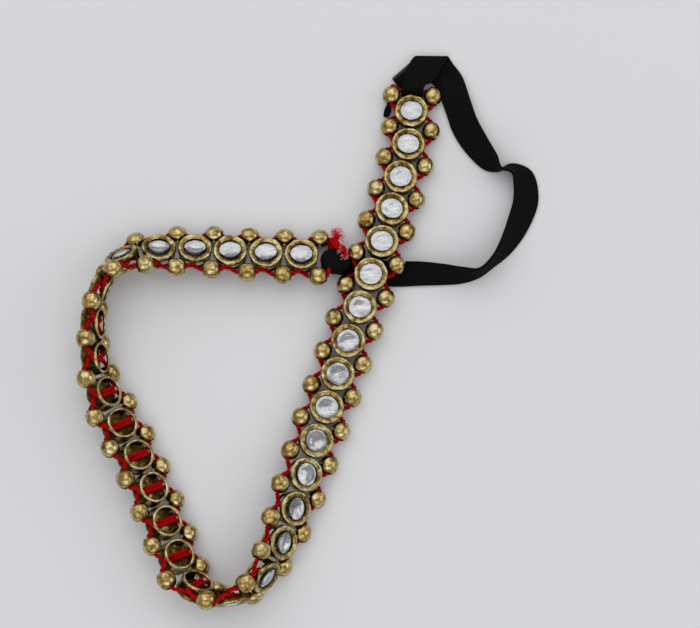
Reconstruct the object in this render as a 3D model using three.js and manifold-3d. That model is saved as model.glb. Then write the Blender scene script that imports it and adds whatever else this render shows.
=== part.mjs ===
// A jewelled headband, lying loose as it was put down. It is one strip of round brass settings with glass
// stones, laced side by side on a doubled red cord that also carries a row of brass beads along each edge. A
// black knitted elastic closes the strip into a band. Millimetres, +Z up, origin at the middle of the
// footprint, on the surface.
import * as THREE from "three";
import { mergeVertices } from "three/addons/utils/BufferGeometryUtils.js";
import Module from "manifold-3d";

const wasm = await Module();
wasm.setup();

// The strip
const SETTINGS = 32;
const PITCH = 11.15; // from setting to setting
const ROUND_SIDES = 10; // sides of every round setting and bead
const GAP = 0.35; // between pieces that touch
const FLAT = 0.08; // faces this close to one plane are one face

// A setting: an open brass drum with a thick rim, and a stone in a shallow cup behind the rim
const RIM_RADIUS = 5.25;
const RIM_FRONT = 2.5;
const WALL_RADIUS = 4.5;
const WALL = 0.7;
const DRUM_BACK = -2.9;
const STONE_RADIUS = 3.55;
const STONE_FRONT = 2.05;
const CUP_FLOOR = 1.1;
const WINDOW = { width: 4.3, low: -2.35, high: 0.97 };

// The beads and the cord
const BEAD_RADIUS = 2.87;
const BEAD_OFFSET = 6.86; // from the strip's middle line to a bead's middle
const BEAD_MOUTH = 1.0; // radius of the flat round its drill hole
const BEAD_MOUTH_ALONG = Math.sqrt(BEAD_RADIUS ** 2 - BEAD_MOUTH ** 2);
const CORD_RADIUS = 0.55;
const CORD_SIDES = 5;
const LANE = 0.8; // the two cords lie this far to each side of a drum's middle
const UPPER_CORD = 0.17; // depths of the two cords in a drum
const LOWER_CORD = -1.5;
const MOUTH_SLACK = 0.25; // how far a cord sits off the middle of a bead's hole

// The elastic
const TAPE_THICKNESS = 1;

const UP = new THREE.Vector3(0, 0, 1);

// Where the strip starts, and how it lies at some of its settings: the compass heading of its run (degrees
// from +X), its roll (0 lying face up, 90 standing on edge, 180 face down), its lift off the surface, and how
// far the cord's slack spreads the settings.
const START = { x: 31.6, y: 75.2 };
const LAY = [
  { link: 0.5, heading: -92, roll: 0, lift: 0.03, spread: 0 },
  { link: 3, heading: -105, roll: 0, lift: 0.4, spread: 0 },
  { link: 5, heading: -107, roll: 0, lift: 1.35, spread: 0 },
  { link: 7, heading: -109, roll: 0, lift: 1.35, spread: 0 },
  { link: 9.5, heading: -108, roll: 2, lift: 0, spread: 0 },
  { link: 12, heading: -108, roll: 22, lift: 0, spread: 0 },
  { link: 14, heading: -112, roll: 47, lift: 0, spread: 0 },
  { link: 15, heading: -125, roll: 65, lift: 0, spread: 0.4 },
  { link: 16, heading: -170, roll: 84, lift: 0, spread: 0.9 },
  { link: 17, heading: -218, roll: 125, lift: 0, spread: 0.5 },
  { link: 18, heading: -249, roll: 148, lift: 0, spread: 0 },
  { link: 20, heading: -246, roll: 145, lift: 0, spread: 0 },
  { link: 22, heading: -241, roll: 148, lift: 0, spread: 0 },
  { link: 24, heading: -261, roll: 109, lift: 0, spread: 0.1 },
  { link: 25, heading: -271, roll: 97, lift: 0, spread: 0.3 },
  { link: 26, heading: -290, roll: 86, lift: 0, spread: 0.6 },
  { link: 27, heading: -327, roll: 55, lift: 0, spread: 0.6 },
  { link: 28, heading: -357, roll: 32, lift: 0, spread: 0.3 },
  { link: 30, heading: -363, roll: 22, lift: 0, spread: 0.15 },
  { link: 32.5, heading: -362, roll: 16, lift: 0, spread: 0.15 },
];

// How the elastic lies, from the end under the knot to the cut end under the cord loop: the middle of its
// width, the compass line across it from its right edge to its left, how far that line leans up (past 90 the
// elastic is over on its other face), its width there, and its lift off the surface.
const TAPE = [
  { x: 5.3, y: 20.6, across: 88, lean: 0, width: 6.6, lift: 0 },
  { x: 11, y: 19.6, across: 84, lean: 0, width: 7.6, lift: 0 },
  { x: 16.5, y: 18.1, across: 78, lean: 0, width: 8.2, lift: 0 },
  { x: 22, y: 17.1, across: 85, lean: 0, width: 8.4, lift: 0 },
  { x: 28, y: 16.8, across: 88, lean: 5, width: 8.4, lift: 0 },
  { x: 34, y: 16.5, across: 87, lean: 33, width: 8.4, lift: 0 },
  { x: 40.5, y: 16.1, across: 87, lean: 48, width: 8.4, lift: 0 },
  { x: 47.2, y: 15.7, across: 92, lean: 66, width: 8.6, lift: 0 },
  { x: 52.5, y: 16.4, across: 113, lean: 83, width: 9, lift: 0 },
  { x: 57, y: 20.1, across: 137, lean: 79, width: 9, lift: 0 },
  { x: 61, y: 24.9, across: 144, lean: 61, width: 9, lift: 0 },
  { x: 65.2, y: 32.7, across: 151, lean: 37, width: 9, lift: 0 },
  { x: 68, y: 41, across: 181, lean: 21, width: 9, lift: 0 },
  { x: 67, y: 48.4, across: 217, lean: 30, width: 9, lift: 0 },
  { x: 63.4, y: 50.8, across: 262, lean: 58, width: 9, lift: 0 },
  { x: 59.6, y: 50.4, across: 272, lean: 82, width: 9, lift: 0 },
  { x: 56.8, y: 52.6, across: 222, lean: 118, width: 9, lift: 0 },
  { x: 52.3, y: 58.9, across: 212, lean: 150, width: 9, lift: 0 },
  { x: 48.6, y: 65.8, across: 208, lean: 160, width: 9.3, lift: 0 },
  { x: 46.4, y: 72.8, across: 207, lean: 166, width: 9.2, lift: 0 },
  { x: 43.8, y: 80.4, across: 204, lean: 174, width: 9.5, lift: 0 },
  { x: 40.4, y: 85.2, across: 200, lean: 180, width: 10.2, lift: 0 },
  { x: 39, y: 87.7, across: 186, lean: 180, width: 10.8, lift: 0.1 },
  { x: 38.2, y: 88.8, across: 180, lean: 180, width: 11, lift: 1.1 },
  { x: 37.3, y: 87.7, across: -6, lean: 0, width: 10.8, lift: 2.1 },
  { x: 35.9, y: 85.4, across: -20, lean: 0, width: 10.2, lift: 2.3 },
  { x: 33.9, y: 81.8, across: -22, lean: 0, width: 9.6, lift: 2.8 },
  { x: 32.2, y: 79.2, across: -8, lean: 0, width: 7.5, lift: 3.3 },
  { x: 31.7, y: 77.2, across: -3, lean: 0, width: 7.2, lift: 2.9 },
  { x: 31.65, y: 75.75, across: -3, lean: 0, width: 7.1, lift: 1.45 },
  { x: 31.7, y: 77.2, across: 177, lean: 180, width: 7.2, lift: 0 },
  { x: 31, y: 79.6, across: 192, lean: 180, width: 7.4, lift: 0 },
  { x: 29.8, y: 82.1, across: 212, lean: 180, width: 8, lift: 0.1 },
  { x: 28.1, y: 84.6, across: 222, lean: 180, width: 8, lift: 0.2 },
];

// The lump of elastic that is turned round the tied cord ends
const KNOT = { x: 7.2, y: 20.4, z: 4.5, long: 4.5, wide: 4.1, high: 3.1 };

// The tie over the knot: the cord's two ends, and the tail that one of them leaves
const TIE = [
  [5.8, 27.6, 3.0],
  [6.3, 26.8, 4.4],
  [7.2, 26.0, 5.6],
  [8.7, 25.0, 6.7],
  [9.7, 23.4, 7.5],
  [10.4, 21.9, 7.8],
];
const TAIL = [
  [7.2, 26.0, 5.6],
  [7.2, 27.6, 4.2],
  [7.3, 29.2, 2.4],
  [7.4, 30.6, 1.0],
];

// Smooth value of one column of the table between its rows
function lay(column, link) {
  const last = LAY.length - 1;
  const slope = (i) => {
    if (i < 0 || i >= last) return 0;
    return (LAY[i + 1][column] - LAY[i][column]) / (LAY[i + 1].link - LAY[i].link);
  };
  const tangent = (i) => {
    const before = slope(i - 1);
    const after = slope(i);
    return before * after > 0 ? (2 * before * after) / (before + after) : 0;
  };
  const found = LAY.findIndex((row) => row.link >= link);
  const i = Math.min(Math.max(found < 0 ? last : found, 1), last) - 1;
  const span = LAY[i + 1].link - LAY[i].link;
  const t = THREE.MathUtils.clamp((link - LAY[i].link) / span, 0, 1);
  const rise = LAY[i + 1][column] - LAY[i][column];
  const bend = tangent(i) * span * t * (1 - t) * (1 - t) - tangent(i + 1) * span * t * t * (1 - t);
  return LAY[i][column] + rise * t * t * (3 - 2 * t) + bend;
}

// Height of the strip's middle line when its lowest bead, ring or rim rests on the surface
function restHeight(link) {
  const roll = THREE.MathUtils.degToRad(lay("roll", link));
  const side = Math.abs(Math.sin(roll));
  const up = Math.cos(roll);
  const bead = BEAD_OFFSET * side + BEAD_RADIUS;
  const ring = WALL_RADIUS * side - DRUM_BACK * up;
  const rim = RIM_RADIUS * side - RIM_FRONT * up;
  return Math.max(bead, ring, rim) + lay("lift", link);
}

// The middle line, in half steps: beads sit on the half numbers and settings on the whole ones
const HALF = 0.5;
const middle = new Map();
function walkStrip() {
  const point = new THREE.Vector3(START.x, START.y, restHeight(HALF));
  for (let link = HALF; link <= SETTINGS + HALF; link += HALF) {
    middle.set(link, point.clone());
    const rise = restHeight(link + HALF) - point.z;
    const pitch = PITCH + lay("spread", link + HALF / 2);
    const run = Math.sqrt((pitch * HALF) ** 2 - rise ** 2);
    const heading = THREE.MathUtils.degToRad(lay("heading", link + HALF / 2));
    point.add(new THREE.Vector3(run * Math.cos(heading), run * Math.sin(heading), rise));
  }
}
walkStrip();

// The strip's own frame at a link: X along the run, Y across to its left, Z out of the stones' faces
function frameAt(link) {
  const before = middle.get(Math.max(link - HALF, HALF));
  const after = middle.get(Math.min(link + HALF, SETTINGS + HALF));
  const along = after.clone().sub(before).normalize();
  const left = new THREE.Vector3(-along.y, along.x, 0).normalize();
  const upward = along.clone().cross(left);
  const roll = THREE.MathUtils.degToRad(lay("roll", link));
  const front = upward.clone().multiplyScalar(Math.cos(roll)).addScaledVector(left, Math.sin(roll));
  const across = front.clone().cross(along);
  return new THREE.Matrix4().makeBasis(along, across, front).setPosition(middle.get(link));
}

const inFrame = (link, x, y, z) => new THREE.Vector3(x, y, z).applyMatrix4(frameAt(link));

// A closed three.js geometry as a solid that can be joined and cut
function solid(geometry) {
  const bare = geometry.clone();
  bare.deleteAttribute("normal");
  bare.deleteAttribute("uv");
  const merged = mergeVertices(bare, 1e-4);
  const corners = [];
  for (let i = 0; i < merged.index.count; i += 3) {
    const [a, b, c] = merged.index.array.slice(i, i + 3);
    if (a !== b && b !== c && c !== a) corners.push(a, b, c);
  }
  const vertProperties = merged.attributes.position.array;
  const triVerts = new Uint32Array(corners);
  return new wasm.Manifold(new wasm.Mesh({ numProp: 3, vertProperties, triVerts }));
}

// A joined or cut solid as a geometry, with its flat faces in as few triangles as they need
function geometryOf(shape) {
  const { vertProperties, triVerts } = shape.asOriginal().simplify(FLAT).getMesh();
  const geometry = new THREE.BufferGeometry();
  geometry.setAttribute("position", new THREE.BufferAttribute(vertProperties, 3));
  geometry.setIndex(new THREE.BufferAttribute(triVerts, 1));
  geometry.computeVertexNormals();
  return geometry;
}

// Moves each ring of a straight bar, which lies at a whole number along Z, onto its station along a path
function bend(bar, stations) {
  const corners = bar.attributes.position;
  const corner = new THREE.Vector3();
  for (let i = 0; i < corners.count; i++) {
    corner.fromBufferAttribute(corners, i);
    const station = stations[Math.round(corner.z)];
    corner.setZ(0).applyMatrix4(station);
    corners.setXYZ(i, corner.x, corner.y, corner.z);
  }
  return bar;
}

// A closed cord through some points. It faces the next point half way at each, or along a given line.
function cordThrough(points, lines = []) {
  const steps = points.length - 1;
  const bar = new THREE.CylinderGeometry(CORD_RADIUS, CORD_RADIUS, steps, CORD_SIDES, steps);
  bar.rotateX(Math.PI / 2).translate(0, 0, steps / 2);
  const stations = points.map((point, i) => {
    const into = point.clone().sub(points[Math.max(i - 1, 0)]).normalize();
    const out = points[Math.min(i + 1, steps)].clone().sub(point).normalize();
    const along = lines[i] ?? into.add(out).normalize();
    const side = UP.clone().cross(along).normalize();
    return new THREE.Matrix4().makeBasis(side, along.clone().cross(side), along).setPosition(point);
  });
  return solid(bend(bar, stations));
}

// One drum, turned about its own axis, with a window cut through each side for the cords
function settingGeometry() {
  const profile = [
    [0, STONE_FRONT],
    [STONE_RADIUS, STONE_FRONT - 0.35],
    [STONE_RADIUS + 0.45, RIM_FRONT],
    [RIM_RADIUS, RIM_FRONT - 0.4],
    [WALL_RADIUS + 0.2, RIM_FRONT - 1.5],
    [WALL_RADIUS, DRUM_BACK],
    [WALL_RADIUS - WALL, DRUM_BACK],
    [WALL_RADIUS - WALL, CUP_FLOOR],
    [0, CUP_FLOOR],
  ];
  const outline = profile.reverse().map(([radius, front]) => new THREE.Vector2(radius, front));
  const drum = new THREE.LatheGeometry(outline, ROUND_SIDES).rotateX(Math.PI / 2);
  const window = new THREE.BoxGeometry(WINDOW.width, 3 * RIM_RADIUS, WINDOW.high - WINDOW.low);
  window.translate(0, 0, (WINDOW.high + WINDOW.low) / 2);
  return geometryOf(solid(drum).subtract(solid(window)));
}

// One bead, turned about its hole, which runs along the strip
function beadGeometry() {
  const shoulder = { radius: BEAD_RADIUS * 0.91, along: BEAD_RADIUS * 0.42 };
  const outline = [
    [0, -BEAD_MOUTH_ALONG],
    [BEAD_MOUTH, -BEAD_MOUTH_ALONG],
    [shoulder.radius, -shoulder.along],
    [shoulder.radius, shoulder.along],
    [BEAD_MOUTH, BEAD_MOUTH_ALONG],
    [0, BEAD_MOUTH_ALONG],
  ].map(([radius, along]) => new THREE.Vector2(radius, along));
  return new THREE.LatheGeometry(outline, ROUND_SIDES).rotateZ(-Math.PI / 2);
}

// A run of the cord with its beads. It starts on one side (1 left, -1 right) and changes sides at every
// setting.
function beadString(startSide) {
  const points = cordLoop(startSide);
  const lines = points.map(() => undefined);
  const pass = (link, along, across, depth, line) => {
    points.push(inFrame(link, along, across, depth));
    lines.push(line);
  };
  const bead = beadGeometry();
  const reach = BEAD_MOUTH_ALONG - 0.05;
  const wall = WALL_RADIUS + 0.25;
  const shapes = [];
  let side = startSide;
  for (let link = HALF; link < SETTINGS + 1; link++) {
    const place = frameAt(link);
    const line = new THREE.Vector3().setFromMatrixColumn(place, 0);
    place.multiply(new THREE.Matrix4().makeTranslation(0, side * BEAD_OFFSET, 0));
    shapes.push(solid(bead.clone().applyMatrix4(place)));
    pass(link, -reach, side * BEAD_OFFSET, side * MOUTH_SLACK, line);
    pass(link, reach, side * BEAD_OFFSET, -side * MOUTH_SLACK, line);
    if (link < SETTINGS) {
      const lane = -side * LANE;
      const twist = lay("roll", link + 1) - lay("roll", link);
      const depth = side > 0 === twist > 0 ? UPPER_CORD : LOWER_CORD;
      pass(link + HALF, lane, side * wall, depth);
      pass(link + HALF, lane, -side * wall, depth);
      side = -side;
    }
  }
  pass(SETTINGS + HALF, BEAD_RADIUS + 0.5, side * BEAD_OFFSET, 0);
  shapes.push(cordThrough(points, lines));
  return geometryOf(wasm.Manifold.union(shapes));
}

// The cord's half of the loop that the elastic turns round, beyond the first two beads
function cordLoop(side) {
  const half = [
    [-7.6, 0.2],
    [-7.6, 3.95],
    [-8.75, 5.1],
    [-9.4, 6.3],
  ];
  const dip = [-0.92, -0.92, -0.5, -0.1];
  return half.map(([along, across], i) => inFrame(1, along, side * across, dip[i]));
}

// The middle and the two ends of the line across the elastic at a row of its table
function tapeEdges({ x, y, across, lean, width, lift }) {
  const turn = THREE.MathUtils.degToRad(across);
  const rise = THREE.MathUtils.degToRad(lean);
  const flat = Math.cos(rise);
  const line = new THREE.Vector3(Math.cos(turn) * flat, Math.sin(turn) * flat, Math.sin(rise));
  const rest = (width * Math.abs(line.z) + TAPE_THICKNESS * Math.abs(flat)) / 2;
  const centre = new THREE.Vector3(x, y, rest + lift);
  return [-0.5, 0.5].map((half) => centre.clone().addScaledVector(line, half * width));
}

// The elastic as a flat bar bent along smooth edges through the rows of its table
function tapeGeometry() {
  const rows = TAPE.map(tapeEdges);
  const [right, left] = [0, 1].map((edge) => new THREE.CatmullRomCurve3(rows.map((row) => row[edge])));
  const steps = (TAPE.length - 1) * 2;
  const bar = new THREE.BoxGeometry(1, TAPE_THICKNESS, steps, 1, 1, steps).translate(0, 0, steps / 2);
  const middleAt = (t) => right.getPoint(t).add(left.getPoint(t)).multiplyScalar(0.5);
  const stations = [];
  for (let i = 0; i <= steps; i++) {
    const t = i / steps;
    const line = left.getPoint(t).sub(right.getPoint(t));
    const along = middleAt(Math.min(t + 0.002, 1)).sub(middleAt(Math.max(t - 0.002, 0))).normalize();
    const face = along.clone().cross(line).normalize();
    const centre = middleAt(t);
    centre.setZ(Math.max(centre.z, (Math.abs(line.z) + TAPE_THICKNESS * Math.abs(face.z)) / 2));
    stations.push(new THREE.Matrix4().makeBasis(line, face, along).setPosition(centre));
  }
  return bend(bar, stations);
}

// The knot is pressed in where the beads and the last setting lie against it
function knotGeometry() {
  const lump = new THREE.SphereGeometry(1, 12, 8).rotateX(Math.PI / 2);
  lump.scale(KNOT.long, KNOT.wide, KNOT.high).translate(KNOT.x, KNOT.y, KNOT.z);
  const press = (link, side) => {
    const ball = new THREE.SphereGeometry(BEAD_RADIUS + 2 * GAP, 10, 6);
    return solid(ball.applyMatrix4(new THREE.Matrix4().setPosition(inFrame(link, 0, side * BEAD_OFFSET, 0))));
  };
  const beads = [press(5.5, -1), press(6.5, -1), press(SETTINGS + HALF, -1), press(SETTINGS + HALF, 1)];
  return geometryOf(solid(lump).subtract(wasm.Manifold.union(beads)));
}

function tieGeometry() {
  const [over, tail] = [TIE, TAIL].map((points) => points.map((point) => new THREE.Vector3(...point)));
  const turn = new THREE.SphereGeometry(2 * CORD_RADIUS, 8, 6).translate(...TAIL[0]);
  return geometryOf(wasm.Manifold.union([cordThrough(over), cordThrough(tail), solid(turn)]));
}

// The short end of elastic that comes out beside the first bead
function stubGeometry() {
  const sections = [
    { along: 3.3, across: -7.5, depth: -1.1, width: 1.2 },
    { along: 4.7, across: -7.9, depth: -1.6, width: 1.9 },
    { along: 6.1, across: -8.2, depth: -2.2, width: 2.4 },
  ];
  const steps = sections.length - 1;
  const bar = new THREE.BoxGeometry(1, TAPE_THICKNESS, steps, 1, 1, steps).translate(0, 0, steps / 2);
  const [along, across, front] = [0, 1, 2].map((column) => {
    return new THREE.Vector3().setFromMatrixColumn(frameAt(HALF), column);
  });
  const stations = sections.map((section) => {
    const place = inFrame(HALF, section.along, section.across, section.depth);
    const wide = across.clone().multiplyScalar(section.width);
    return new THREE.Matrix4().makeBasis(wide, front, along).setPosition(place);
  });
  return bend(bar, stations);
}

const headband = new THREE.Group();

function add(name, geometry, material) {
  const mesh = new THREE.Mesh(geometry, material);
  mesh.name = name;
  headband.add(mesh);
  return mesh;
}

const brass = new THREE.MeshStandardMaterial({ color: 0x9a8548, metalness: 1, roughness: 0.35 });
const thread = new THREE.MeshStandardMaterial({ color: 0xb00808, metalness: 0, roughness: 0.8 });
const elastic = new THREE.MeshStandardMaterial({ color: 0x17171a, metalness: 0, roughness: 0.9 });

const drum = settingGeometry();
for (let link = 1; link <= SETTINGS; link++) {
  const mesh = add(`setting_${String(link).padStart(2, "0")}`, drum, brass);
  mesh.applyMatrix4(frameAt(link));
}
add("bead_string_a", beadString(-1), brass);
add("bead_string_b", beadString(1), brass);
add("elastic_band", tapeGeometry(), elastic);
add("elastic_knot", knotGeometry(), elastic);
add("cord_tie", tieGeometry(), thread);
add("elastic_stub", stubGeometry(), elastic);

export default headband;
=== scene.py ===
# A jewelled forehead band that lies loose on a pale table: a strip of brass settings and brass beads, laced
# on red cord and closed by a black knitted elastic. The pieces come in the order in which it is put together.
import math
import random

import bmesh
import bpy
from mathutils import Matrix, Vector


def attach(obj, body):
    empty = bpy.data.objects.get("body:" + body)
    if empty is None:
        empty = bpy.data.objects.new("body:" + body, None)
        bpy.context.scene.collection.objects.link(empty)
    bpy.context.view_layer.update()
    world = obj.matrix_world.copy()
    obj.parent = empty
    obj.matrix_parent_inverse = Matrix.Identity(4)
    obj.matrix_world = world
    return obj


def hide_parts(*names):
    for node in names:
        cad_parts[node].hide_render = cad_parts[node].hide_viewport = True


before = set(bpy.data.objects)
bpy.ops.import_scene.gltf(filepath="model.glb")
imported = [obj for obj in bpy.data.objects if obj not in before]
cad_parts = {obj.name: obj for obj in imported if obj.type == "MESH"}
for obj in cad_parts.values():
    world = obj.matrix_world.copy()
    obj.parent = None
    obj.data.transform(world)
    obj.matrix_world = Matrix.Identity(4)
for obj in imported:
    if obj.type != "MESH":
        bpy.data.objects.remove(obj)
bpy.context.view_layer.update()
scene = bpy.context.scene

# ------------------------------------------------------------
# The table and the light. The band lies on a smooth pale table in a bright room. One broad soft lamp hangs
# behind it, one in front and a smaller one low on its right. It is seen from almost straight above.
CAMERA_RISE = math.radians(80)
CAMERA_AWAY = 0.55
VIEW_WIDTH = 0.2235
looked_at = Vector((0.0114, 0.0039, 0))
lens = bpy.data.cameras.new("camera")
lens.sensor_width = 36
lens.lens = lens.sensor_width * CAMERA_AWAY / VIEW_WIDTH
lens.clip_start = 0.01
camera = bpy.data.objects.new("camera", lens)
camera.location = looked_at + CAMERA_AWAY * Vector((0, -math.cos(CAMERA_RISE), math.sin(CAMERA_RISE)))
camera.rotation_euler = (math.pi / 2 - CAMERA_RISE, 0, 0)
scene.collection.objects.link(camera)
scene.camera = camera
scene.view_settings.view_transform = "Standard"


def soft_lamp(name, place, long, wide, brightness, colour):
    """A soft lamp with an oblong face, which shines on the middle of the table."""
    lamp = bpy.data.lights.new(name, "AREA")
    lamp.shape = "RECTANGLE"
    lamp.size, lamp.size_y = long, wide
    lamp.energy = math.pi * long * wide * brightness
    lamp.color = colour
    holder = bpy.data.objects.new(name, lamp)
    holder.location = place
    holder.rotation_euler = (-Vector(place)).to_track_quat("-Z", "Y").to_euler()
    scene.collection.objects.link(holder)


soft_lamp("lamp_behind", (-0.10, 0.38, 0.60), 1.1, 0.95, 0.82, (1.0, 0.99, 0.97))
soft_lamp("lamp_front", (-0.02, -0.52, 0.56), 0.9, 0.5, 0.98, (1.0, 1.0, 1.0))
soft_lamp("lamp_right", (0.62, 0.02, 0.34), 0.5, 0.4, 0.95, (1.0, 0.99, 0.98))
world = bpy.data.worlds.new("room")
world.use_nodes = True
world.node_tree.nodes["Background"].inputs["Color"].default_value = (0.96, 0.97, 1.0, 1)
world.node_tree.nodes["Background"].inputs["Strength"].default_value = 0.42
scene.world = world


def painted(name, roughness=0.5, metallic=0.0, **sockets):
    """A new material, its node tree and its shader, with the plain values set on the shader's own sockets."""
    material = bpy.data.materials.new(name)
    material.use_nodes = True
    shader = material.node_tree.nodes["Principled BSDF"]
    shader.inputs["Roughness"].default_value = roughness
    shader.inputs["Metallic"].default_value = metallic
    for socket, value in sockets.items():
        shader.inputs[socket.replace("_", " ")].default_value = value
    return material, material.node_tree, shader


def node(tree, kind, links=None, **settings):
    """Adds a node to a tree, with its settings, and with values or other nodes' outputs at its inputs."""
    made = tree.nodes.new(kind)
    for name, value in settings.items():
        setattr(made, name, value)
    for key, value in (links or {}).items():
        if isinstance(value, bpy.types.NodeSocket):
            tree.links.new(value, made.inputs[key])
        else:
            made.inputs[key].default_value = value
    return made


def noise(tree, scale, detail=3.0, stretch=None):
    """Noise in the piece's own space. The scale is in waves per metre, and stretch slows it along an axis."""
    place = node(tree, "ShaderNodeTexCoord").outputs["Object"]
    if stretch:
        place = node(tree, "ShaderNodeMapping", {"Vector": place, "Scale": stretch}).outputs["Vector"]
    made = node(tree, "ShaderNodeTexNoise", {"Vector": place, "Scale": scale, "Detail": detail})
    return made.outputs["Fac"]


def shades(tree, amount, *stops):
    """A ramp of colours or greys, each stop a place and a colour, over an amount from 0 to 1."""
    ramp = node(tree, "ShaderNodeValToRGB", {"Fac": amount})
    elements = ramp.color_ramp.elements
    while len(elements) < len(stops):
        elements.new(0.5)
    for element, (place, colour) in zip(elements, stops):
        element.position = place
        element.color = (*colour, 1) if isinstance(colour, tuple) else (colour, colour, colour, 1)
    return ramp.outputs["Color"]


TABLE_REACH = 3.0
table_paint, tree, shader = painted("table_top", roughness=0.62)
cloudy = shades(tree, noise(tree, 4.0), (0.3, (0.765, 0.77, 0.785)), (0.7, (0.785, 0.79, 0.805)))
tree.links.new(cloudy, shader.inputs["Base Color"])
corners = [(x * TABLE_REACH, y * TABLE_REACH, 0) for x, y in ((-1, -1), (1, -1), (1, 1), (-1, 1))]
table_mesh = bpy.data.meshes.new("table_top")
table_mesh.from_pydata(corners, [], [(0, 1, 2, 3)])
table_mesh.materials.append(table_paint)
table = bpy.data.objects.new("table_top", table_mesh)
scene.collection.objects.link(table)

# ------------------------------------------------------------
# The line of the strip. The settings are laced side by side, so the strip bends and rolls a little at each
# one: it lies face up, then on edge round the bend, then face down, and rolls back face up at its other end.
MM = 0.001
SETTINGS = 32
PITCH = 11.15
RIM_RADIUS = 5.25
RIM_FRONT = 2.5
WALL_RADIUS = 4.5
DRUM_BACK = -2.9
BEAD_RADIUS = 2.87
BEAD_OFFSET = 6.86
START = (31.6, 75.2)
# Headings and rolls are in degrees. Lifts, and what spreads the pitch, are in millimetres.
LAY = [
    dict(link=0.5, heading=-92, roll=0, lift=0.03),
    dict(link=3, heading=-105, roll=0, lift=0.4),
    dict(link=5, heading=-107, roll=0, lift=1.35),
    dict(link=7, heading=-109, roll=0, lift=1.35),
    dict(link=9.5, heading=-108, roll=2),
    dict(link=12, heading=-108, roll=22),
    dict(link=14, heading=-112, roll=47),
    dict(link=15, heading=-125, roll=65, spread=0.4),
    dict(link=16, heading=-170, roll=84, spread=0.9),
    dict(link=17, heading=-218, roll=125, spread=0.5),
    dict(link=18, heading=-249, roll=148),
    dict(link=20, heading=-246, roll=145),
    dict(link=22, heading=-241, roll=148),
    dict(link=24, heading=-261, roll=109, spread=0.1),
    dict(link=25, heading=-271, roll=97, spread=0.3),
    dict(link=26, heading=-290, roll=86, spread=0.6),
    dict(link=27, heading=-327, roll=55, spread=0.6),
    dict(link=28, heading=-357, roll=32, spread=0.3),
    dict(link=30, heading=-363, roll=22, spread=0.15),
    dict(link=32.5, heading=-362, roll=16, spread=0.15),
]


def lay(column, link):
    """Smooth value of one column of the table between its rows, with no overshoot. Left out, it is 0."""
    last = len(LAY) - 1
    values = [row.get(column, 0) for row in LAY]

    def slope(i):
        if not 0 <= i < last:
            return 0
        return (values[i + 1] - values[i]) / (LAY[i + 1]["link"] - LAY[i]["link"])

    def tangent(i):
        before, after = slope(i - 1), slope(i)
        return 2 * before * after / (before + after) if before * after > 0 else 0

    i = min(max(next((k for k, row in enumerate(LAY) if row["link"] >= link), last), 1), last) - 1
    span = LAY[i + 1]["link"] - LAY[i]["link"]
    t = min(max((link - LAY[i]["link"]) / span, 0), 1)
    rise = values[i + 1] - values[i]
    bend = tangent(i) * span * t * (1 - t) ** 2 - tangent(i + 1) * span * t * t * (1 - t)
    return values[i] + rise * t * t * (3 - 2 * t) + bend


def rest_height(link):
    """Height of the middle line when the lowest bead, ring or rim rests on the table."""
    roll = math.radians(lay("roll", link))
    side, up = abs(math.sin(roll)), math.cos(roll)
    bead = BEAD_OFFSET * side + BEAD_RADIUS
    ring = WALL_RADIUS * side - DRUM_BACK * up
    rim = RIM_RADIUS * side - RIM_FRONT * up
    return max(bead, ring, rim) + lay("lift", link)


middle = {}
point = Vector((*START, rest_height(0.5)))
for half in range(1, 2 * SETTINGS + 2):
    link = half / 2
    middle[link] = point.copy()
    rise = rest_height(link + 0.5) - point.z
    pitch = PITCH + lay("spread", link + 0.25)
    run = math.sqrt((pitch / 2) ** 2 - rise ** 2)
    heading = math.radians(lay("heading", link + 0.25))
    point += Vector((run * math.cos(heading), run * math.sin(heading), rise))


def strip_frame(link):
    """The strip's own frame at a link: X along its run, Y across to its left, Z out of the stones' faces."""
    along = (middle[min(link + 0.5, SETTINGS + 0.5)] - middle[max(link - 0.5, 0.5)]).normalized()
    left = Vector((-along.y, along.x, 0)).normalized()
    roll = math.radians(lay("roll", link))
    front = along.cross(left) * math.cos(roll) + left * math.sin(roll)
    across = front.cross(along)
    turn = Matrix((along, across, front)).transposed()
    return Matrix.Translation(middle[link] * MM) @ turn.to_4x4()


def in_strip(link, x, y, z):
    """A place in the strip's own frame, in millimetres, as a place on the table, in metres."""
    return strip_frame(link) @ (Vector((x, y, z)) * MM)


# ------------------------------------------------------------
# The brass settings. Each is one short drum, cast and hammered: a thick front rim with a recess for the
# stone, a window on each side for the cords, two posts between them and a round ring at the back.
SIDES = 72
WINDOW_REACH = 8  # steps of the drum's round to each side of a window's middle
# The drum's half section, from the middle of its front round to its inside: radius and height.
DISH = [(0, 1.3), (3.7, 1.3), (3.74, 1.6), (3.66, 1.84), (3.6, 2.0), (3.72, 2.12), (4.1, 2.23), (4.46, 2.37),
        (4.8, 2.47), (5.06, 2.46), (5.28, 2.28)]
UNDER_RIM = [(5.42, 1.94), (5.42, 1.5), (5.4, 1.2), (5.37, 1.0), (5.33, 0.85)]
WIRE = [(4.96, -1.9), (5.03, -2.15), (5.02, -2.52), (4.88, -2.8), (4.53, -2.92), (4.18, -2.8), (4.02, -2.5)]
INNER = [(4.05, -2.15), (4.2, -1.9), (4.25, 0.85), (3.95, 1.02), (2.7, 1.0), (1.3, 1.05), (0, 1.02)]
drum_outline = DISH + UNDER_RIM + WIRE + INNER
window_top_out = len(DISH) + len(UNDER_RIM) - 1
window_top_in = len(DISH) + len(UNDER_RIM) + len(WIRE) + 2


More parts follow.
